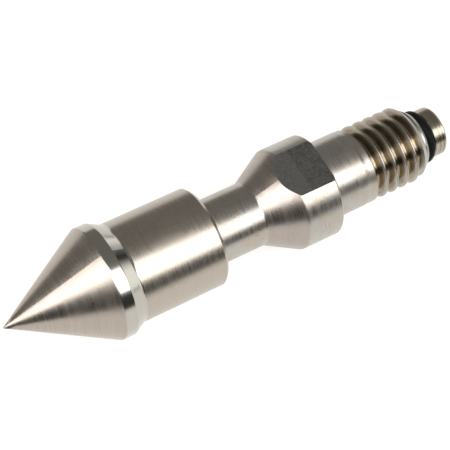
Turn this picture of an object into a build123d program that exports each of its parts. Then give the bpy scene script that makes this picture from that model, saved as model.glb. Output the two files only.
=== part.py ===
from build123d import *
from math import acos, cos, degrees, pi, radians, sin, tan
import os

# A screw-in live centre. The head with the 60 degree point turns on a fixed, threaded spindle.
# Millimetres. The axis is X, the origin is the centre of the collar's seat face, +X runs to the
# point, and the two wrench flats face up and down.

# Driving sizes: the outside of the fixed spindle
COLLAR_R = 8.5
COLLAR_LENGTH = 6.4
COLLAR_CHAMFER = 0.3
COLLAR_FILLET = 0.8
ACROSS_FLATS = 15.0
FLARE_LENGTH = 5.7
NECK_R = 5.3
NECK_LENGTH = 8.55
NECK_FILLET = 0.6
PILOT_R = 12.7 / 2
PILOT_LENGTH = 6.05
PILOT_TAPER = 0.6
THREAD_PITCH = 25.4 / 13
THREAD_LENGTH = 9.19
THREAD_START_ANGLE = 135.0
CREST_LINE = 0.12
NOSE_LENGTH = 2.3
NOSE_R = 4.5
NOSE_EDGE = 0.3

# Shape of the thread: its depth and flats in pitches, the rounding of its crest in depths
DEPTH_IN_PITCHES = 0.6134
CREST_FLAT_IN_PITCHES = 1 / 8
ROOT_FLAT_IN_PITCHES = 1 / 5
CREST_ROUND_IN_DEPTHS = 1 / 10
GROOVE_PIECES_PER_TURN = 4

# Driving sizes: the outside of the turning head
POINT_ANGLE = 60.0
CROWN_PROUD = 1.1
CROWN_BAND = 1.85
CROWN_SLOPE_ANGLE = 28.0
CROWN_FRONT_EDGE = 0.6
CROWN_REAR_EDGE = 0.4
CROWN_FILLET = 1.2
HEAD_LENGTH = 34.5
HEAD_WALL = 1.62
HEAD_REAR_CHAMFER = 0.55

# Driving sizes: the two ball bearings and what lies between them
BEARING_BORE_R = 3.0
BEARING_OUTER_R = 6.5
BEARING_WIDTH = 3.5
BALL_R = 1.0
BALL_COUNT = 7
INNER_LAND = 0.65
OUTER_LAND = 0.65
BALL_CAGE_THICKNESS = 0.8
BALL_CAGE_WIDTH = 2.6
RING_EDGE = 0.2
SPACER_LENGTH = 2.0
SPACER_WALL = 0.8
WAVE_HEIGHT = 0.8
WAVE_THICKNESS = 0.25
WAVE_COUNT = 3
WAVE_WIDTH = 1.2
POINTS_PER_WAVE = 16
SNAP_THICKNESS = 0.7
SNAP_DEPTH = 0.25
SNAP_PROUD = 0.8
SNAP_GAP_ANGLE = 40.0
SNAP_LAND = 0.5
CIRCLIP_THICKNESS = 0.8
CIRCLIP_DEPTH = 0.4
CIRCLIP_PROUD = 0.8
CIRCLIP_GAP_ANGLE = 50.0
CIRCLIP_LUG_R = 0.85
CIRCLIP_HOLE_R = 0.4

# Driving sizes: the rear seal
SEAL_WIDTH = 2.0
SEAL_RECESS = 0.6
SEAL_SETBACK = 0.2
SEAL_SHELL = 0.3
SEAL_FLANGE = 1.6
SEAL_WEB = 1.33
SEAL_LIP_TIP = 0.15
SEAL_JOURNAL_R = 3.8

# Driving sizes: the needle bearing and the thrust ball at the front
POINT_SOLID = 8.0
NEEDLE_JOURNAL_R = 2.0
NEEDLE_R = 0.73
NEEDLE_COUNT = 8
CUP_WALL = 0.5
CUP_LIP = 0.35
CUP_SETBACK = 0.9
CUP_STEP = 0.2
NEEDLE_CAGE_THICKNESS = 0.6
NEEDLE_CAGE_END = 0.5
THRUST_BALL_R = 1.5
THRUST_SEAT_R = 3.0
THRUST_SEAT_LENGTH = 2.0
THRUST_CUP_DEPTH = 0.5

# Driving sizes: the grease bore and the plug that closes it
GREASE_BORE_R = 0.9
GREASE_HOLE_R = 0.5
PLUG_HEAD_R = 4.06
PLUG_HEAD_LENGTH = 2.44
PLUG_EDGE = 0.35
PLUG_SHOULDER_R = 2.95
PLUG_STUD_R = 2.5
PLUG_STUD_LENGTH = 5.0
PLUG_HOLE_SPARE = 0.5
PLUG_SOCKET_AF = 3.0
PLUG_SOCKET_DEPTH = 2.2
O_RING_SECTION_R = 0.78

# Clearances
CREST_GAP = 0.05
RACE_GAP = 0.03
ROLLER_GAP = 0.02
POCKET_GAP = 0.06
LIP_GAP = 0.03
SIDE_GAP = 0.1
SMALL_CHAMFER = 0.15
OVERCUT = 1.0

# Places along the axis, from the seat face forwards
X_COLLAR_FRONT = COLLAR_LENGTH
X_FLARE_FRONT = X_COLLAR_FRONT + FLARE_LENGTH
X_HEAD_REAR = X_FLARE_FRONT + NECK_LENGTH
X_TIP = X_HEAD_REAR + HEAD_LENGTH
X_SEAL = X_HEAD_REAR + SEAL_RECESS
X_SEAL_FRONT = X_SEAL + SEAL_WIDTH
X_CIRCLIP = X_SEAL_FRONT + SEAL_SETBACK
X_REAR_BEARING = X_CIRCLIP + CIRCLIP_THICKNESS
X_SPACER = X_REAR_BEARING + BEARING_WIDTH
X_FRONT_BEARING = X_SPACER + SPACER_LENGTH
X_WAVE = X_FRONT_BEARING + BEARING_WIDTH
X_BORE_STEP = X_WAVE + WAVE_HEIGHT
X_SEAT_BOTTOM = X_TIP - POINT_SOLID
X_SEAT_FACE = X_SEAT_BOTTOM - THRUST_SEAT_LENGTH
X_BALL = X_SEAT_FACE + THRUST_CUP_DEPTH - THRUST_BALL_R - ROLLER_GAP
X_SPINDLE_FRONT = X_BALL - THRUST_BALL_R + THRUST_CUP_DEPTH - ROLLER_GAP
X_CUP_REAR = X_BORE_STEP + CUP_SETBACK
X_CUP_FRONT = X_SPINDLE_FRONT - CUP_STEP
X_NECK_FRONT = X_HEAD_REAR + SEAL_RECESS / 2

# Places along the axis, from the seat face backwards
X_CRESTS = -PILOT_LENGTH - PILOT_TAPER
X_THREAD = X_CRESTS - THREAD_PITCH / 2
X_THREAD_END = X_THREAD - THREAD_LENGTH
X_NOSE = X_THREAD_END - NOSE_LENGTH
X_PLUG_HEAD = X_NOSE - 2 * O_RING_SECTION_R
X_REAR = X_PLUG_HEAD - PLUG_HEAD_LENGTH

# Radii that follow from the sizes above
HEAD_R = BEARING_OUTER_R + HEAD_WALL
CROWN_R = HEAD_R + CROWN_PROUD
BALL_PITCH_R = (BEARING_BORE_R + BEARING_OUTER_R) / 2
THREAD_R = PILOT_R - CREST_GAP
THREAD_DEPTH = DEPTH_IN_PITCHES * THREAD_PITCH
THREAD_ROOT_R = THREAD_R - THREAD_DEPTH
CUP_R = NEEDLE_JOURNAL_R + 2 * (NEEDLE_R + ROLLER_GAP) + CUP_WALL
NEEDLE_PITCH_R = NEEDLE_JOURNAL_R + ROLLER_GAP + NEEDLE_R

ABOUT_X = Plane(origin=(0, 0, 0), x_dir=(0, 1, 0), z_dir=(1, 0, 0))


def at(x):
    """The plane across the axis at x, facing the point."""
    return ABOUT_X.offset(x)


def turned(*points):
    """A solid of revolution about X from corners given as (x, radius)."""
    outline = Polyline(*[(x, 0, r) for x, r in points], close=True)
    return revolve(make_face(outline), Axis.X)


def tube(x, length, inner, outer, edge=0.0):
    """A ring from x forwards, with its outer corners broken by edge."""
    far = x + length
    if edge == 0:
        return turned((x, inner), (x, outer), (far, outer), (far, inner))
    return turned(
        (x, inner), (x, outer - edge), (x + edge, outer), (far - edge, outer),
        (far, outer - edge), (far, inner),
    )


def rod(x, length, radius):
    return at(x) * extrude(Circle(radius), length)


def around(count, shape):
    """Copies of a shape spread evenly around the axis."""
    return [Rot(360 * i / count, 0, 0) * shape for i in range(count)]


def corner(face, x, r, radius):
    """Rounds the corner of an outline that is nearest to (x, r)."""
    place = Vector(x, 0, r)
    nearest = min(face.vertices(), key=lambda v: (Vector(*v) - place).length)
    return fillet(nearest, radius)


def save(shape, node):
    export_step(shape, f"parts/{node}.step")


def point_head():
    """Cone, crown band, sloped shoulder and cylinder, bored in steps from the rear."""
    cone_x = X_TIP - CROWN_R / tan(radians(POINT_ANGLE / 2))
    band_x = cone_x - CROWN_BAND
    body_x = band_x - CROWN_PROUD / tan(radians(CROWN_SLOPE_ANGLE))
    rear = X_HEAD_REAR
    edge = HEAD_REAR_CHAMFER
    corners = [
        (X_TIP, 0), (cone_x, CROWN_R), (band_x, CROWN_R), (body_x, HEAD_R),
        (rear + edge, HEAD_R), (rear, HEAD_R - edge), (rear, 0),
    ]
    outline = make_face(Polyline(*[(x, 0, r) for x, r in corners], close=True))
    outline = corner(outline, cone_x, CROWN_R, CROWN_FRONT_EDGE)
    outline = corner(outline, band_x, CROWN_R, CROWN_REAR_EDGE)
    outline = corner(outline, body_x, HEAD_R, CROWN_FILLET)
    body = revolve(outline, Axis.X)
    bore = turned(
        (rear - OVERCUT, 0), (rear - OVERCUT, BEARING_OUTER_R + SMALL_CHAMFER),
        (rear, BEARING_OUTER_R + SMALL_CHAMFER), (rear + SMALL_CHAMFER, BEARING_OUTER_R),
        (X_BORE_STEP, BEARING_OUTER_R), (X_BORE_STEP, CUP_R), (X_CUP_FRONT, CUP_R),
        (X_CUP_FRONT, THRUST_SEAT_R), (X_SEAT_BOTTOM, THRUST_SEAT_R), (X_SEAT_BOTTOM, 0),
    )
    groove = rod(X_CIRCLIP, CIRCLIP_THICKNESS, BEARING_OUTER_R + CIRCLIP_DEPTH)
    return body - bore - groove


def thrust_cup():
    """The hollow that the thrust ball runs in, in the seat and in the spindle's front end."""
    return Pos(X_BALL, 0, 0) * Rot(0, 90, 0) * Sphere(THRUST_BALL_R + ROLLER_GAP)


def thrust_seat():
    """Hardened insert with a cup for the thrust ball."""
    return rod(X_SEAT_FACE, THRUST_SEAT_LENGTH, THRUST_SEAT_R) - thrust_cup()


def needle_cup():
    """Drawn cup: a thin sleeve with a lip turned in at each end."""
    lip_r = CUP_R - CUP_WALL - CUP_LIP
    inside = CUP_R - CUP_WALL
    return turned(
        (X_CUP_REAR, lip_r), (X_CUP_REAR, CUP_R - RING_EDGE), (X_CUP_REAR + RING_EDGE, CUP_R),
        (X_CUP_FRONT - RING_EDGE, CUP_R), (X_CUP_FRONT, CUP_R - RING_EDGE), (X_CUP_FRONT, lip_r),
        (X_CUP_FRONT - CUP_LIP, lip_r), (X_CUP_FRONT - CUP_LIP, inside),
        (X_CUP_REAR + CUP_LIP, inside), (X_CUP_REAR + CUP_LIP, lip_r),
    )


def needle_span():
    """Where the cage starts and how long it is, between the cup's lips."""
    start = X_CUP_REAR + CUP_LIP + SIDE_GAP
    return start, X_CUP_FRONT - CUP_LIP - SIDE_GAP - start


def needle_rollers():
    start, length = needle_span()
    start += NEEDLE_CAGE_END + POCKET_GAP
    length -= 2 * (NEEDLE_CAGE_END + POCKET_GAP)
    needle = Pos(0, 0, NEEDLE_PITCH_R) * rod(start, length, NEEDLE_R)
    return Compound(around(NEEDLE_COUNT, needle))


def needle_cage():
    start, length = needle_span()
    inner = NEEDLE_PITCH_R - NEEDLE_CAGE_THICKNESS / 2
    cage = tube(start, length, inner, inner + NEEDLE_CAGE_THICKNESS)
    slot_length = length - 2 * NEEDLE_CAGE_END
    slot = Pos(0, 0, NEEDLE_PITCH_R) * rod(
        start + NEEDLE_CAGE_END, slot_length, NEEDLE_R + POCKET_GAP
    )
    return cage - around(NEEDLE_COUNT, slot)


def race(x):
    """The ring-shaped path of a bearing's balls, a little larger than the balls."""
    path = Plane(origin=(x + BEARING_WIDTH / 2, 0, BALL_PITCH_R), z_dir=(0, -1, 0))
    return revolve(path * Circle(BALL_R + RACE_GAP), Axis.X)


def bearing_outer_ring(x):
    inner = BALL_PITCH_R + INNER_LAND
    return tube(x, BEARING_WIDTH, inner, BEARING_OUTER_R, RING_EDGE) - race(x)


def bearing_inner_ring(x):
    outer = BALL_PITCH_R - OUTER_LAND
    return tube(x, BEARING_WIDTH, BEARING_BORE_R, outer, RING_EDGE) - race(x)


def bearing_ball(x):
    return Pos(x + BEARING_WIDTH / 2, 0, BALL_PITCH_R) * Sphere(BALL_R)


def bearing_balls(x):
    return Compound(around(BALL_COUNT, bearing_ball(x)))


def bearing_cage(x):
    """Ring between the two races with one ball-shaped pocket for each ball."""
    inner = BALL_PITCH_R - BALL_CAGE_THICKNESS / 2
    start = x + (BEARING_WIDTH - BALL_CAGE_WIDTH) / 2
    cage = tube(start, BALL_CAGE_WIDTH, inner, inner + BALL_CAGE_THICKNESS)
    pocket = Pos(x + BEARING_WIDTH / 2, 0, BALL_PITCH_R) * Sphere(BALL_R + POCKET_GAP)
    return cage - around(BALL_COUNT, pocket)


def inner_spacer():
    """Sleeve on the journal, drilled across for the grease."""
    sleeve = tube(X_SPACER, SPACER_LENGTH, BEARING_BORE_R, BEARING_BORE_R + SPACER_WALL)
    return sleeve - cross_hole(BEARING_BORE_R + SPACER_WALL)


def outer_spacer():
    inner = BEARING_OUTER_R - SPACER_WALL
    return tube(X_SPACER, SPACER_LENGTH, inner, BEARING_OUTER_R)


def cross_hole(reach):
    """The grease hole across the axis, at the middle of the spacers."""
    hole = Cylinder(GREASE_HOLE_R, 2 * (reach + OVERCUT))
    return Pos(X_SPACER + SPACER_LENGTH / 2, 0, 0) * hole


def wave_washer():
    """Flat ring bent into even waves between the outer ring and the bore's step."""
    outer = BEARING_OUTER_R - SIDE_GAP
    inner = outer - WAVE_WIDTH
    rise = (WAVE_HEIGHT - WAVE_THICKNESS - 2 * ROLLER_GAP) / 2
    middle = X_WAVE + WAVE_HEIGHT / 2
    steps = POINTS_PER_WAVE * WAVE_COUNT

    def rail(radius, side):
        points = []
        for i in range(steps):
            turn = 2 * pi * i / steps
            x = middle + side * WAVE_THICKNESS / 2 + rise * cos(WAVE_COUNT * turn)
            points.append((x, radius * cos(turn), radius * sin(turn)))
        return Spline(*points, periodic=True)

    inner_rear, inner_front = rail(inner, -1), rail(inner, 1)
    outer_rear, outer_front = rail(outer, -1), rail(outer, 1)
    faces = [
        Face.make_surface_from_curves(inner_rear.edge(), outer_rear.edge()),
        Face.make_surface_from_curves(inner_front.edge(), outer_front.edge()),
        Face.make_surface_from_curves(inner_rear.edge(), inner_front.edge()),
        Face.make_surface_from_curves(outer_rear.edge(), outer_front.edge()),
    ]
    return Solid(Shell(faces))


def sector(x, length, reach, angle):
    """A wedge centred on +Z that opens a ring by an angle."""
    half = radians(angle / 2)
    far = reach / cos(half)
    tip = (x - OVERCUT, 0, 0)
    left = (x - OVERCUT, -far * sin(half), far * cos(half))
    right = (x - OVERCUT, far * sin(half), far * cos(half))
    face = make_face(Polyline(tip, left, right, close=True))
    return extrude(face, length + 2 * OVERCUT, dir=(1, 0, 0))


def shaft_snap_ring():
    """Plain snap ring in the groove in front of the inner rings."""
    inner = BEARING_BORE_R - SNAP_DEPTH
    outer = BEARING_BORE_R + SNAP_PROUD
    ring = tube(X_WAVE, SNAP_THICKNESS, inner, outer)
    return ring - sector(X_WAVE, SNAP_THICKNESS, 2 * outer, SNAP_GAP_ANGLE)


def bore_circlip():
    """Internal circlip with two drilled lugs beside its gap."""
    outer = BEARING_OUTER_R + CIRCLIP_DEPTH
    inner = BEARING_OUTER_R - CIRCLIP_PROUD
    ring = tube(X_CIRCLIP, CIRCLIP_THICKNESS, inner, outer)
    ring -= sector(X_CIRCLIP, CIRCLIP_THICKNESS, 2 * outer, CIRCLIP_GAP_ANGLE)
    lug_r = BEARING_OUTER_R - CIRCLIP_LUG_R
    lug_turn = CIRCLIP_GAP_ANGLE / 2 + degrees(CIRCLIP_LUG_R / lug_r)
    for side in (-1, 1):
        place = Rot(side * lug_turn, 0, 0) * Pos(0, 0, lug_r)
        ring += place * rod(X_CIRCLIP, CIRCLIP_THICKNESS, CIRCLIP_LUG_R)
        ring -= place * rod(X_CIRCLIP, CIRCLIP_THICKNESS, CIRCLIP_HOLE_R)
    return ring


def seal_case():
    """Pressed steel case: a sleeve in the bore with a flange turned in at the rear."""
    flange_r = BEARING_OUTER_R - SEAL_FLANGE
    edge = SEAL_SHELL / 2
    return turned(
        (X_SEAL, flange_r), (X_SEAL, BEARING_OUTER_R - edge), (X_SEAL + edge, BEARING_OUTER_R),
        (X_SEAL_FRONT, BEARING_OUTER_R), (X_SEAL_FRONT, BEARING_OUTER_R - SEAL_SHELL),
        (X_SEAL + SEAL_SHELL, BEARING_OUTER_R - SEAL_SHELL), (X_SEAL + SEAL_SHELL, flange_r),
    )


def seal_lip():
    """Rubber body bonded inside the case, with a lip that runs on the seal journal."""
    flange_r = BEARING_OUTER_R - SEAL_FLANGE
    shell_r = BEARING_OUTER_R - SEAL_SHELL
    lip_r = SEAL_JOURNAL_R + LIP_GAP
    waist_r = lip_r + SEAL_SHELL
    web_rear = X_SEAL + SEAL_SHELL
    web_front = X_SEAL + SEAL_WEB
    return turned(
        (X_SEAL, flange_r), (web_rear, flange_r), (web_rear, shell_r), (web_front, shell_r),
        (web_front, waist_r + SEAL_SHELL), (X_SEAL_FRONT, waist_r),
        (X_SEAL_FRONT, waist_r - SEAL_LIP_TIP), (web_front + SEAL_LIP_TIP, lip_r),
        (web_front, waist_r), (X_SEAL, waist_r),
    )


def thread_groove():
    """The helical groove between the crests, in short pieces, ended at the pilot by a run-out."""
    half_pitch = THREAD_PITCH / 2
    rise = THREAD_DEPTH * CREST_ROUND_IN_DEPTHS
    line_half = half_pitch - CREST_LINE / 2
    flank_half = half_pitch - CREST_FLAT_IN_PITCHES * THREAD_PITCH / 2
    root_half = ROOT_FLAT_IN_PITCHES * THREAD_PITCH / 2
    rear = [
        (THREAD_R + 3 * rise, line_half), (THREAD_R + rise / 2, line_half),
        (THREAD_R - rise, flank_half), (THREAD_ROOT_R, root_half),
    ]
    front = [(r, -x) for r, x in reversed(rear)]
    profile = make_face(Polyline(*[(r, 0, x) for r, x in rear + front], close=True))
    lead = THREAD_PITCH / GROOVE_PIECES_PER_TURN
    piece = sweep(profile, path=Helix(THREAD_PITCH, lead, THREAD_R), is_frenet=True)
    exit_angle = degrees(acos(THREAD_ROOT_R / THREAD_R))
    drift = THREAD_PITCH * exit_angle / 360
    floor = Box(
        THREAD_ROOT_R, 2 * THREAD_R, THREAD_PITCH + drift, align=(Align.MIN, Align.MAX, Align.MIN)
    )
    pieces = [piece - Rot(0, 0, exit_angle) * Pos(0, 0, -half_pitch) * floor]
    count = int((THREAD_LENGTH + NOSE_LENGTH + THREAD_PITCH) / lead) + 1
    for i in range(1, count):
        turn = 360 * i / GROOVE_PIECES_PER_TURN
        pieces.append(Pos(0, 0, i * lead) * Rot(0, 0, turn) * piece)
    place = Pos(X_THREAD, 0, 0) * Rot(THREAD_START_ANGLE, 0, 0) * Rot(0, -90, 0)
    return [place * p for p in pieces]


def flats_cutter():
    """Two blocks that leave the collar the width of a spanner."""
    depth = COLLAR_R + OVERCUT - ACROSS_FLATS / 2
    block = Box(
        X_FLARE_FRONT + 2 * OVERCUT, 2 * (COLLAR_R + OVERCUT), depth,
        align=(Align.MIN, Align.CENTER, Align.MIN),
    )
    block = Pos(-OVERCUT, 0, ACROSS_FLATS / 2) * block
    return [block, Rot(180, 0, 0) * block]


def spindle():
    """Journals, neck, flared collar with flats, pilot, threaded end and nose in one piece."""
    step = NEEDLE_JOURNAL_R
    journal_end = X_WAVE + SNAP_THICKNESS + SNAP_LAND
    corners = [
        (X_SPINDLE_FRONT, 0), (X_SPINDLE_FRONT, step - SMALL_CHAMFER),
        (X_SPINDLE_FRONT - SMALL_CHAMFER, step), (journal_end, step),
        (journal_end, BEARING_BORE_R), (X_REAR_BEARING, BEARING_BORE_R),
        (X_REAR_BEARING, SEAL_JOURNAL_R), (X_NECK_FRONT, SEAL_JOURNAL_R),
        (X_NECK_FRONT, NECK_R), (X_FLARE_FRONT, NECK_R), (X_COLLAR_FRONT, COLLAR_R),
        (COLLAR_CHAMFER, COLLAR_R), (0, COLLAR_R - COLLAR_CHAMFER), (0, PILOT_R),
        (-PILOT_LENGTH, PILOT_R), (X_CRESTS, THREAD_R), (X_THREAD_END, THREAD_R),
        (X_NOSE + NOSE_EDGE, NOSE_R + NOSE_EDGE), (X_NOSE, NOSE_R), (X_NOSE, 0),
    ]
    outline = make_face(Polyline(*[(x, 0, r) for x, r in corners], close=True))
    outline = corner(outline, X_FLARE_FRONT, NECK_R, NECK_FILLET)
    outline = corner(outline, X_COLLAR_FRONT, COLLAR_R, COLLAR_FILLET)
    outline = corner(outline, X_THREAD_END, THREAD_R, NOSE_EDGE)
    shape = revolve(outline, Axis.X)
    shape -= flats_cutter()
    shape -= thread_groove()
    shape -= tube(X_WAVE, SNAP_THICKNESS, BEARING_BORE_R - SNAP_DEPTH, BEARING_BORE_R + OVERCUT)
    shape -= cross_hole(BEARING_BORE_R)
    shape -= thrust_cup()
    stud_room = PLUG_STUD_LENGTH + PLUG_HOLE_SPARE
    shape -= rod(X_NOSE - OVERCUT, stud_room + OVERCUT, PLUG_STUD_R)
    grease_end = X_SPACER + SPACER_LENGTH / 2 + GREASE_HOLE_R
    shape -= rod(X_NOSE, grease_end - X_NOSE, GREASE_BORE_R)
    return shape


def o_ring():
    """Round-section ring squeezed between the spindle's nose and the plug's head."""
    ring_r = PLUG_SHOULDER_R + O_RING_SECTION_R
    section = Plane(origin=(X_NOSE - O_RING_SECTION_R, 0, ring_r), z_dir=(0, -1, 0))
    return revolve(section * Circle(O_RING_SECTION_R), Axis.X)


def end_plug():
    """Round-headed screw plug with a hexagon socket in its end."""
    rear = X_REAR
    shape = turned(
        (rear, 0), (rear, PLUG_HEAD_R - PLUG_EDGE), (rear + PLUG_EDGE, PLUG_HEAD_R),
        (X_PLUG_HEAD - SMALL_CHAMFER, PLUG_HEAD_R), (X_PLUG_HEAD, PLUG_HEAD_R - SMALL_CHAMFER),
        (X_PLUG_HEAD, PLUG_SHOULDER_R), (X_NOSE, PLUG_SHOULDER_R), (X_NOSE, PLUG_STUD_R),
        (X_NOSE + PLUG_STUD_LENGTH - PLUG_EDGE, PLUG_STUD_R),
        (X_NOSE + PLUG_STUD_LENGTH, PLUG_STUD_R - PLUG_EDGE), (X_NOSE + PLUG_STUD_LENGTH, 0),
    )
    hexagon = RegularPolygon(PLUG_SOCKET_AF / 2, 6, major_radius=False)
    return shape - at(rear) * extrude(hexagon, PLUG_SOCKET_DEPTH)


os.makedirs("parts", exist_ok=True)
save(point_head(), "point_head")
save(spindle(), "spindle")
save(thrust_seat(), "thrust_seat")
save(Pos(X_BALL, 0, 0) * Sphere(THRUST_BALL_R), "thrust_ball")
save(needle_cup(), "needle_bearing_cup")
save(needle_rollers(), "needle_rollers")
save(needle_cage(), "needle_cage")
for name, x in (("front", X_FRONT_BEARING), ("rear", X_REAR_BEARING)):
    save(bearing_outer_ring(x), f"{name}_bearing_outer_ring")
    save(bearing_inner_ring(x), f"{name}_bearing_inner_ring")
    save(bearing_balls(x), f"{name}_bearing_balls")
    save(bearing_cage(x), f"{name}_bearing_cage")
save(inner_spacer(), "inner_spacer")
save(outer_spacer(), "outer_spacer")
save(wave_washer(), "preload_wave_washer")
save(shaft_snap_ring(), "shaft_snap_ring")
save(bore_circlip(), "bore_circlip")
save(seal_case(), "seal_case")
save(seal_lip(), "seal_lip")
save(o_ring(), "o_ring")
save(end_plug(), "end_plug")
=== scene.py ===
"""The looks of the screw-in live centre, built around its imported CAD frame."""

import math

import bpy
from mathutils import Matrix, Vector


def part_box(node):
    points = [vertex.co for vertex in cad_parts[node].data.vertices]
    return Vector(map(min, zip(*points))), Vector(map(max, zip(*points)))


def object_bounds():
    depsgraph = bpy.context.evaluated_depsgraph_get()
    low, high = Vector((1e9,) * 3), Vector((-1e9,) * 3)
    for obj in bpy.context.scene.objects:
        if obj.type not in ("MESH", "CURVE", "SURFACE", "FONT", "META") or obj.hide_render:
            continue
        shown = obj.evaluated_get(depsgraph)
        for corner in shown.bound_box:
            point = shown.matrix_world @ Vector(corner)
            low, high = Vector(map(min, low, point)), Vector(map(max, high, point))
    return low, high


MM = 0.001

# The camera: where it looks from, how long its lens is, and where the point's tip lies before it
VIEW_AZIMUTH = 148.6
VIEW_ELEVATION = 49.06
VIEW_TURN = 13.5
LENS_MM = 135.1
SENSOR_MM = 36.0
CLIP_START = 0.01
TIP_RIGHT = -0.03283
TIP_DOWN = 0.01525
TIP_AHEAD = 0.2491

# The floor: white paper with one glow for the camera, and a weaker one for what the metal
# mirrors, which fades out between two distances from the object
FLOOR_SIZE = 6.0
FLOOR_GAP = 0.0002
FLOOR_PAPER = (0.3, 0.298, 0.292, 1)
FLOOR_ROUGHNESS = 0.9
GLOW_COLOR = (1, 0.99, 0.97, 1)
FLOOR_GLOW = 0.80
GLOW_ON_METAL = 0.68
GLOW_NEAR = 0.04
GLOW_FAR = 0.5

# The softbox overhead
SOFTBOX_HEIGHT = 0.5
SOFTBOX_SIZE = (1.5, 0.52)
SOFTBOX_PLACE = (0.1, 0.28)
SOFTBOX_WATTS = 7.8
SOFTBOX_COLOR = (1.0, 1.0, 1.0)

# The room's tones, and the one that the camera itself sees
ROOM_GREY = (0.215, 0.21, 0.20, 1)
ROOM_DARK = (0.03, 0.032, 0.03, 1)
ROOM_PALE = (1.5, 1.52, 1.48, 1)
ROOM_SEEN = (0.93, 0.925, 0.915, 1)

# Directions in the room: where each zone begins, and where it is complete
FRONT_Y = (0.0, 0.6)
FRONT_Z = (0.8, 0.4)
REAR_X = (-0.55, -0.8)
REAR_Z = (0.6, 0.4)
WINDOW_FAR_Y = (-0.24, -0.7)
WINDOW_NEAR_Y = (-0.18, 0.14)
WINDOW_Z = (0.55, 0.4)

# Lengths along the head, back from the tip, and how soft the zones' edges are
CONE_LENGTH = 15.97 * MM
BAND_LENGTH = 1.85 * MM
SHOULDER_LENGTH = 2.3 * MM
CONE_EDGE = 0.05 * MM
CROWN_EDGE = 0.08 * MM

# Heights, radii and places that part the spindle's surfaces, and how soft those edges are
FLAT_HEIGHT = 7.47 * MM
FLAT_EDGE = 0.02 * MM
CREST_R = 6.27 * MM
FLANK_R = 5.6 * MM
THREAD_FRONT = -6.7 * MM
THREAD_REAR = -16.9 * MM
THREAD_EDGE = 0.1 * MM
NOSE_EDGE = 0.2 * MM
FLARE_REAR = 6.4 * MM
FLARE_FRONT = 12.1 * MM
FLARE_EDGE = 0.3 * MM

# Parts of a noise's range: nearly all of it, or its middle
WIDE = (0.3, 0.7)
MIDDLE = (0.35, 0.65)

# Turning marks: broad and fine rings, their width along the axis and their run round it
BROAD_RING = 0.5 * MM
BROAD_RUN = (1, 60, 60)
BROAD_SHARE = 0.5
FINE_RING = 0.09 * MM
FINE_RUN = (1, 90, 90)
FINE_SHARE = 0.5

# Smears left by handling, which make the metal a little rougher
SMEAR_SIZE = 6 * MM
SMEAR_RUN = (1, 0.6, 0.6)
SMEAR_RANGE = (0.45, 0.75)
SMEAR_ROUGHNESS = 0.05

# The head: turned metal, and the polished crown, where the marks are fainter
HEAD_ROUGHNESS = (0.24, 0.30)
HEAD_RELIEF = 0.6e-6
CROWN_ROUGHNESS = 0.165
CROWN_RELIEF_SHARE = 0.15
CONE_TINT = 0.75

# The spindle's turned parts and threads, with uneven patches of colour and small pits
SHANK_ROUGHNESS = (0.25, 0.33)
GROOVE_ROUGHNESS = 0.2
SPINDLE_RELIEF = 0.75e-6
# How far the flare is darkened towards rosy steel: partly its heat tint, partly painted shade
# where it faces away from the softbox
FLARE_TINT_AND_SHADE = 0.6
PATCH_SIZE = 3 * MM
PATCH_RANGE = (0.4, 0.6)
PIT_SIZE = 0.25 * MM
PIT_RANGE = (0.59, 0.65)
PITTED_SIZE = 4 * MM
PITTED_RANGE = (0.48, 0.58)
PIT_SHARE = 0.4

# The milled flats: cutter lines under a mottle, cut in two passes that meet in a faint step
MILL_LINE = 0.16 * MM
MILL_RUN = (40, 1, 1)
MOTTLE_SIZE = 0.35 * MM
MOTTLE_SHARE = 0.7
MILLED_ROUGHNESS = (0.3, 0.42)
CUT_STEP = 4.2 * MM
CUT_EDGE = 0.08 * MM
SECOND_CUT_SHARE = 0.2
CUT_LINE_SHARE = 0.4

# The plug
PLUG_ROUGHNESS = (0.2, 0.26)
PLUG_RELIEF = 0.8e-6

# Steel inside the head: fine lines along a ground or drawn face, and darker where it is oily
GROUND_ROUGHNESS = 0.12
PRESSED_ROUGHNESS = 0.26
LINE_SIZE = 0.05 * MM
LINE_RUN = (1, 60, 60)
LINE_ROUGHNESS = 0.08
LINE_RELIEF = 1e-6
OIL_SIZE = 1.5 * MM
OIL_RANGE = (0.45, 0.65)
OIL_TONE = 0.86

# Rubber
GRAIN_SIZE = 0.05 * MM
GRAIN_RELIEF = 4e-6
CLOUD_SIZE = 0.6 * MM
RUBBER_ROUGHNESS = (0.3, 0.55)
RUBBER_SHEEN = 0.06

# Colours of the metals and the rubber; some also carry painted shade and painted reflection
WARM_STEEL = (0.475, 0.425, 0.365, 1)
COOL_STEEL = (0.48, 0.46, 0.425, 1)
POLISHED_STEEL = (0.50, 0.475, 0.43, 1)
# Rosy steel: the cone's tint, and on the flare its tint together with painted shade
ROSY_TINT_AND_SHADE = (0.40, 0.335, 0.30, 1)
MILLED_STEEL = (0.31, 0.305, 0.29, 1)
MILLED_DARK = (0.14, 0.14, 0.133, 1)
MILLED_PALE = (0.46, 0.455, 0.43, 1)
PIT_DARK = (0.06, 0.055, 0.05, 1)
# Olive and straw: painted shade with a warm painted reflection in the thread grooves, and a
# painted warm reflection on the plug
OLIVE_SHADE_AND_REFLECTION = (0.24, 0.20, 0.145, 1)
STRAW_SHADE_AND_REFLECTION = (0.34, 0.275, 0.19, 1)
# The plug's straw colour is a painted warm reflection on plain steel
PLUG_STEEL_AND_WARM_REFLECTION = (0.54, 0.50, 0.40, 1)
BEARING_STEEL = (0.64, 0.63, 0.61, 1)
BLACK_RUBBER = (0.005, 0.005, 0.005, 1)
WORN_RUBBER = (0.01, 0.01, 0.01, 1)

PRESSED_NODES = (
    "needle_cage", "front_bearing_cage", "rear_bearing_cage", "seal_case", "inner_spacer",
    "outer_spacer", "preload_wave_washer", "bore_circlip", "shaft_snap_ring",
)

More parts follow.
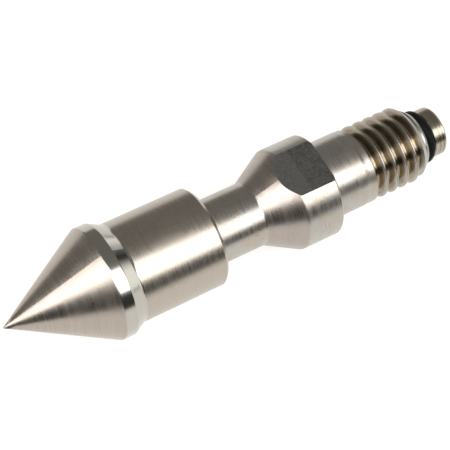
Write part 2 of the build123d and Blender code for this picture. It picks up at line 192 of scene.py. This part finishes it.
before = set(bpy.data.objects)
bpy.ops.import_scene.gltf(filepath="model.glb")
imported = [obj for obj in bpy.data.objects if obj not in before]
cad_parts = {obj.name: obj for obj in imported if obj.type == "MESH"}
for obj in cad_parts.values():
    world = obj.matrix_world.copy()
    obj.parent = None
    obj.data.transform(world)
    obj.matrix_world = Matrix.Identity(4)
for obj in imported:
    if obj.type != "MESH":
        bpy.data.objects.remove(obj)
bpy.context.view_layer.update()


class Nodes:
    """A short way to write a node material."""

    def __init__(self, name):
        self.material = bpy.data.materials.new(name)
        self.material.use_nodes = True
        self.tree = self.material.node_tree
        self.tree.nodes.clear()
        self.shader = self.add("ShaderNodeBsdfPrincipled")
        output = self.add("ShaderNodeOutputMaterial")
        self.tree.links.new(self.shader.outputs["BSDF"], output.inputs["Surface"])
        self.place = self.add("ShaderNodeTexCoord").outputs["Object"]
        split = self.add("ShaderNodeSeparateXYZ")
        self.tree.links.new(self.place, split.inputs[0])
        self.x, self.y, self.z = split.outputs

    def add(self, kind, **settings):
        node = self.tree.nodes.new(kind)
        for name, value in settings.items():
            setattr(node, name, value)
        return node

    def put(self, socket, value):
        """Links a socket to another node's output, or sets it to a plain value."""
        if isinstance(value, bpy.types.NodeSocket):
            self.tree.links.new(value, socket)
        else:
            socket.default_value = value

    def set(self, **values):
        """Fills the shader's own sockets, whose names are written with underscores."""
        for name, value in values.items():
            self.put(self.shader.inputs[name.replace("_", " ")], value)

    def math(self, operation, *values):
        node = self.add("ShaderNodeMath", operation=operation)
        for socket, value in zip(node.inputs, values):
            self.put(socket, value)
        return node.outputs[0]

    def spread(self, value, low, high, start=0.0, end=1.0):
        """Maps low..high to start..end, smoothly, and holds the ends."""
        node = self.add("ShaderNodeMapRange", interpolation_type="SMOOTHSTEP")
        for socket, part in zip(node.inputs, (value, low, high, start, end)):
            self.put(socket, part)
        return node.outputs[0]

    def within(self, value, low, high, soft):
        """1 between low and high, 0 outside, with soft edges."""
        rise = self.spread(value, low - soft, low + soft)
        fall = self.spread(value, high - soft, high + soft, 1.0, 0.0)
        return self.math("MULTIPLY", rise, fall)

    def mix(self, share, a, b):
        """Blends two colours."""
        node = self.add("ShaderNodeMix", data_type="RGBA")
        self.put(node.inputs[0], share)
        self.put(node.inputs[6], a)
        self.put(node.inputs[7], b)
        return node.outputs[2]

    def blend(self, share, a, b):
        """Blends two numbers."""
        node = self.add("ShaderNodeMix", data_type="FLOAT")
        self.put(node.inputs[0], share)
        self.put(node.inputs[2], a)
        self.put(node.inputs[3], b)
        return node.outputs[0]

    def noise(self, size, detail=3.0, stretch=(1, 1, 1)):
        """Noise with spots of a size in metres, stretched along the three axes."""
        mapping = self.add("ShaderNodeMapping")
        self.put(mapping.inputs["Vector"], self.place)
        mapping.inputs["Scale"].default_value = [1 / (size * s) for s in stretch]
        node = self.add("ShaderNodeTexNoise")
        self.put(node.inputs["Vector"], mapping.outputs[0])
        node.inputs["Scale"].default_value = 1.0
        node.inputs["Detail"].default_value = detail
        return node.outputs[0]

    def bump(self, height, depth):
        """Relief of a depth in metres."""
        node = self.add("ShaderNodeBump")
        node.inputs["Distance"].default_value = depth
        self.put(node.inputs["Height"], height)
        self.put(self.shader.inputs["Normal"], node.outputs[0])

    def radius(self):
        """Distance from the X axis."""
        squares = self.math("ADD", self.math("MULTIPLY", self.y, self.y),
                            self.math("MULTIPLY", self.z, self.z))
        return self.math("SQRT", squares)


def turning_marks(m):
    """Fine rings left by the lathe tool, uneven along the axis and broken up round it."""
    broad = m.noise(BROAD_RING, 2.0, BROAD_RUN)
    fine = m.noise(FINE_RING, 3.0, FINE_RUN)
    return m.math("ADD", m.math("MULTIPLY", broad, BROAD_SHARE),
                  m.math("MULTIPLY", fine, FINE_SHARE))


def handled(m, roughness):
    """Roughness with faint smears where the metal has been handled."""
    smear = m.noise(SMEAR_SIZE, 4.0, SMEAR_RUN)
    return m.math("ADD", roughness, m.spread(smear, *SMEAR_RANGE, 0.0, SMEAR_ROUGHNESS))


def head_steel():
    """Turned cone and body, with a polished band and shoulder where the crown is."""
    m = Nodes("head_steel")
    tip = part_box("point_head")[1].x
    cone_end = tip - CONE_LENGTH
    band_end = cone_end - BAND_LENGTH
    crown_end = band_end - SHOULDER_LENGTH
    marks = turning_marks(m)
    crown = m.within(m.x, crown_end, cone_end, CROWN_EDGE)
    cone = m.spread(m.x, cone_end - CONE_EDGE, cone_end + CONE_EDGE)
    tint = m.mix(m.spread(marks, *WIDE), ROSY_TINT_AND_SHADE, WARM_STEEL)
    turned = m.mix(m.math("MULTIPLY", cone, CONE_TINT), WARM_STEEL, tint)
    rough = handled(m, m.spread(marks, *WIDE, *HEAD_ROUGHNESS))
    m.set(
        Base_Color=m.mix(crown, turned, POLISHED_STEEL),
        Metallic=1.0,
        Roughness=m.blend(crown, rough, CROWN_ROUGHNESS),
    )
    fainter = m.spread(crown, 0.0, 1.0, 1.0, CROWN_RELIEF_SHARE)
    m.bump(m.math("MULTIPLY", marks, fainter), HEAD_RELIEF)
    return m.material


def flat_steel(m, milling):
    """Colour of the milled flats, paler ahead of the step between the cutter's two passes."""
    color = m.mix(m.spread(milling, *MIDDLE), MILLED_STEEL, MILLED_DARK)
    second_cut = m.spread(m.x, CUT_STEP - CUT_EDGE, CUT_STEP + CUT_EDGE)
    color = m.mix(m.math("MULTIPLY", second_cut, SECOND_CUT_SHARE), color, MILLED_PALE)
    cut_line = m.within(m.x, CUT_STEP - CUT_EDGE, CUT_STEP, CUT_EDGE / 2)
    return m.mix(m.math("MULTIPLY", cut_line, CUT_LINE_SHARE), color, PIT_DARK)


def spindle_steel():
    """Turned shank with milled flats, painted shade and a warm painted reflection in the thread
    grooves, a flare darkened rosy by its heat tint and painted shade, a bright nose and pits.
    """
    m = Nodes("spindle_steel")
    marks = turning_marks(m)
    flat = m.spread(m.math("ABSOLUTE", m.z), FLAT_HEIGHT, FLAT_HEIGHT + FLAT_EDGE)
    milling = m.blend(MOTTLE_SHARE, m.noise(MILL_LINE, 4.0, MILL_RUN), m.noise(MOTTLE_SIZE, 5.0))
    thread = m.within(m.x, THREAD_REAR, THREAD_FRONT, THREAD_EDGE)
    groove = m.math("MULTIPLY", thread, m.spread(m.radius(), FLANK_R, CREST_R, 1.0, 0.0))
    nose = m.spread(m.x, THREAD_REAR - NOSE_EDGE, THREAD_REAR + NOSE_EDGE, 1.0, 0.0)
    flare = m.within(m.x, FLARE_REAR, FLARE_FRONT, FLARE_EDGE)
    patch = m.spread(m.noise(PATCH_SIZE), *PATCH_RANGE)
    pits = m.math("MULTIPLY", m.spread(m.noise(PIT_SIZE, 2.0), *PIT_RANGE),
                  m.spread(m.noise(PITTED_SIZE, 1.0), *PITTED_RANGE))
    # Painted shade in the thread grooves, tinted warm as a painted reflection, fading out
    # towards the crests
    color = m.mix(groove, m.mix(patch, WARM_STEEL, COOL_STEEL),
                  m.mix(patch, OLIVE_SHADE_AND_REFLECTION, STRAW_SHADE_AND_REFLECTION))
    color = m.mix(nose, color, COOL_STEEL)
    # The flare is darkened towards rosy steel: partly its heat tint, partly painted shade where
    # it faces away from the softbox
    color = m.mix(m.math("MULTIPLY", flare, FLARE_TINT_AND_SHADE), color, ROSY_TINT_AND_SHADE)
    color = m.mix(m.math("MULTIPLY", pits, PIT_SHARE), color, PIT_DARK)
    turned = handled(m, m.spread(marks, *WIDE, *SHANK_ROUGHNESS))
    rough = m.blend(groove, turned, GROOVE_ROUGHNESS)
    m.set(
        Base_Color=m.mix(flat, color, flat_steel(m, milling)),
        Metallic=1.0,
        Roughness=m.blend(flat, rough, m.spread(milling, *WIDE, *MILLED_ROUGHNESS)),
    )
    m.bump(m.blend(flat, marks, milling), SPINDLE_RELIEF)
    return m.material


def plug_steel():
    """Polished cap with fine rings round its edge; its straw and olive colours are a painted
    warm reflection, mixed along the rings.
    """
    m = Nodes("plug_steel")
    marks = turning_marks(m)
    m.set(
        Base_Color=m.mix(m.spread(marks, *MIDDLE), OLIVE_SHADE_AND_REFLECTION, PLUG_STEEL_AND_WARM_REFLECTION),
        Metallic=1.0,
        Roughness=m.spread(marks, *WIDE, *PLUG_ROUGHNESS),
    )
    m.bump(marks, PLUG_RELIEF)
    return m.material


def bearing_steel(name, color, roughness):
    """Ground or drawn steel inside the head, with faint lines and a trace of oil."""
    m = Nodes(name)
    lines = m.noise(LINE_SIZE, 3.0, LINE_RUN)
    oil = m.spread(m.noise(OIL_SIZE), *OIL_RANGE)
    oily = [c * OIL_TONE for c in color[:3]] + [1]
    m.set(
        Base_Color=m.mix(oil, color, oily),
        Metallic=1.0,
        Roughness=m.spread(lines, *WIDE, roughness, roughness + LINE_ROUGHNESS),
    )
    m.bump(lines, LINE_RELIEF)
    return m.material


def rubber(name):
    """Black rubber with a slight sheen of oil and a fine grain."""
    m = Nodes(name)
    grain = m.noise(GRAIN_SIZE)
    m.set(
        Base_Color=m.mix(m.noise(CLOUD_SIZE), BLACK_RUBBER, WORN_RUBBER),
        Roughness=m.spread(grain, *WIDE, *RUBBER_ROUGHNESS),
        Specular_IOR_Level=RUBBER_SHEEN,
    )
    m.bump(grain, GRAIN_RELIEF)
    return m.material


def view_axes():
    """The camera's right, up and forward directions."""
    a = math.radians(VIEW_AZIMUTH)
    e = math.radians(VIEW_ELEVATION)
    turn = Matrix.Rotation(math.radians(VIEW_TURN), 3, "X")
    right = turn @ Vector((math.cos(a), math.sin(a), 0))
    up = turn @ Vector((-math.sin(a) * math.sin(e), math.cos(a) * math.sin(e), math.cos(e)))
    forward = up.cross(right)
    return right, up, forward


def add_camera():
    """A camera placed by where the point's tip lies before it."""
    right, up, forward = view_axes()
    tip = Vector((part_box("point_head")[1].x, 0, 0))
    data = bpy.data.cameras.new("camera")
    data.lens = LENS_MM
    data.sensor_width = SENSOR_MM
    data.clip_start = CLIP_START
    camera = bpy.data.objects.new("camera", data)
    bpy.context.scene.collection.objects.link(camera)
    turn = Matrix((right, up, -forward)).transposed().to_4x4()
    place = tip - right * TIP_RIGHT + up * TIP_DOWN - forward * TIP_AHEAD
    camera.matrix_world = Matrix.Translation(place) @ turn
    bpy.context.scene.camera = camera


def add_floor():
    """A plain square of paper just under the object."""
    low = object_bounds()[0]
    mesh = bpy.data.meshes.new("floor")
    s = FLOOR_SIZE / 2
    z = low[2] - FLOOR_GAP
    corners = [(-s, -s, z), (s, -s, z), (s, s, z), (-s, s, z)]
    mesh.from_pydata(corners, [], [(0, 1, 2, 3)])
    floor = bpy.data.objects.new("floor", mesh)
    bpy.context.scene.collection.objects.link(floor)
    m = Nodes("floor_paper")
    away = m.add("ShaderNodeVectorMath", operation="LENGTH")
    m.put(away.inputs[0], m.place)
    faded = m.spread(away.outputs["Value"], GLOW_NEAR, GLOW_FAR, GLOW_ON_METAL, 0.0)
    seen = m.add("ShaderNodeLightPath").outputs["Is Camera Ray"]
    m.set(
        Base_Color=FLOOR_PAPER,
        Roughness=FLOOR_ROUGHNESS,
        Emission_Color=GLOW_COLOR,
        Emission_Strength=m.blend(seen, faded, FLOOR_GLOW),
    )
    mesh.materials.append(m.material)


def add_softbox():
    """A long soft light overhead, in line with the width of the picture."""
    right = view_axes()[0]
    data = bpy.data.lights.new("softbox", "AREA")
    data.shape = "RECTANGLE"
    data.size, data.size_y = SOFTBOX_SIZE
    data.energy = SOFTBOX_WATTS
    data.color = SOFTBOX_COLOR
    light = bpy.data.objects.new("softbox", data)
    bpy.context.scene.collection.objects.link(light)
    light.location = (*SOFTBOX_PLACE, SOFTBOX_HEIGHT)
    light.rotation_euler = (0, 0, math.atan2(right.y, right.x))


def add_room():
    """A grey room: dark low down in front, and dark low down behind with a pale window."""
    world = bpy.data.worlds.new("room")
    bpy.context.scene.world = world
    world.use_nodes = True
    tree = world.node_tree
    tree.nodes.clear()

    def new(kind, **settings):
        node = tree.nodes.new(kind)
        for name, value in settings.items():
            setattr(node, name, value)
        return node

    def ramp(value, begins, complete):
        node = new("ShaderNodeMapRange", interpolation_type="SMOOTHSTEP")
        tree.links.new(value, node.inputs[0])
        node.inputs[1].default_value = begins
        node.inputs[2].default_value = complete
        return node.outputs[0]

    def pair(operation, a, b):
        node = new("ShaderNodeMath", operation=operation)
        tree.links.new(a, node.inputs[0])
        tree.links.new(b, node.inputs[1])
        return node.outputs[0]

    def mix(share, a, b):
        node = new("ShaderNodeMix", data_type="RGBA")
        tree.links.new(share, node.inputs[0])
        for socket, value in ((node.inputs[6], a), (node.inputs[7], b)):
            if isinstance(value, bpy.types.NodeSocket):
                tree.links.new(value, socket)
            else:
                socket.default_value = value
        return node.outputs[2]

    split = new("ShaderNodeSeparateXYZ")
    tree.links.new(new("ShaderNodeTexCoord").outputs["Generated"], split.inputs[0])
    x, y, z = split.outputs
    front = pair("MULTIPLY", ramp(y, *FRONT_Y), ramp(z, *FRONT_Z))
    rear = pair("MULTIPLY", ramp(x, *REAR_X), ramp(z, *REAR_Z))
    sides = pair("MAXIMUM", ramp(y, *WINDOW_FAR_Y), ramp(y, *WINDOW_NEAR_Y))
    window = pair("MULTIPLY", sides, ramp(z, *WINDOW_Z))
    color = mix(pair("MAXIMUM", front, rear), ROOM_GREY, ROOM_DARK)
    color = mix(pair("MULTIPLY", rear, window), color, ROOM_PALE)
    seen = new("ShaderNodeLightPath").outputs["Is Camera Ray"]
    back = new("ShaderNodeBackground")
    tree.links.new(mix(seen, color, ROOM_SEEN), back.inputs[0])
    tree.links.new(back.outputs[0], new("ShaderNodeOutputWorld").inputs[0])


black_rubber = rubber("seal_rubber")
ground = bearing_steel("bearing_steel", BEARING_STEEL, GROUND_ROUGHNESS)
pressed = bearing_steel("pressed_steel", COOL_STEEL, PRESSED_ROUGHNESS)
materials = {
    "point_head": head_steel(),
    "spindle": spindle_steel(),
    "end_plug": plug_steel(),
    "o_ring": black_rubber,
    "seal_lip": black_rubber,
}
for name in PRESSED_NODES:
    materials[name] = pressed
for name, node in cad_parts.items():
    node.data.materials.clear()
    node.data.materials.append(materials.get(name, ground))

add_floor()
add_softbox()
add_room()
add_camera()
bpy.context.scene.view_settings.view_transform = "Standard"
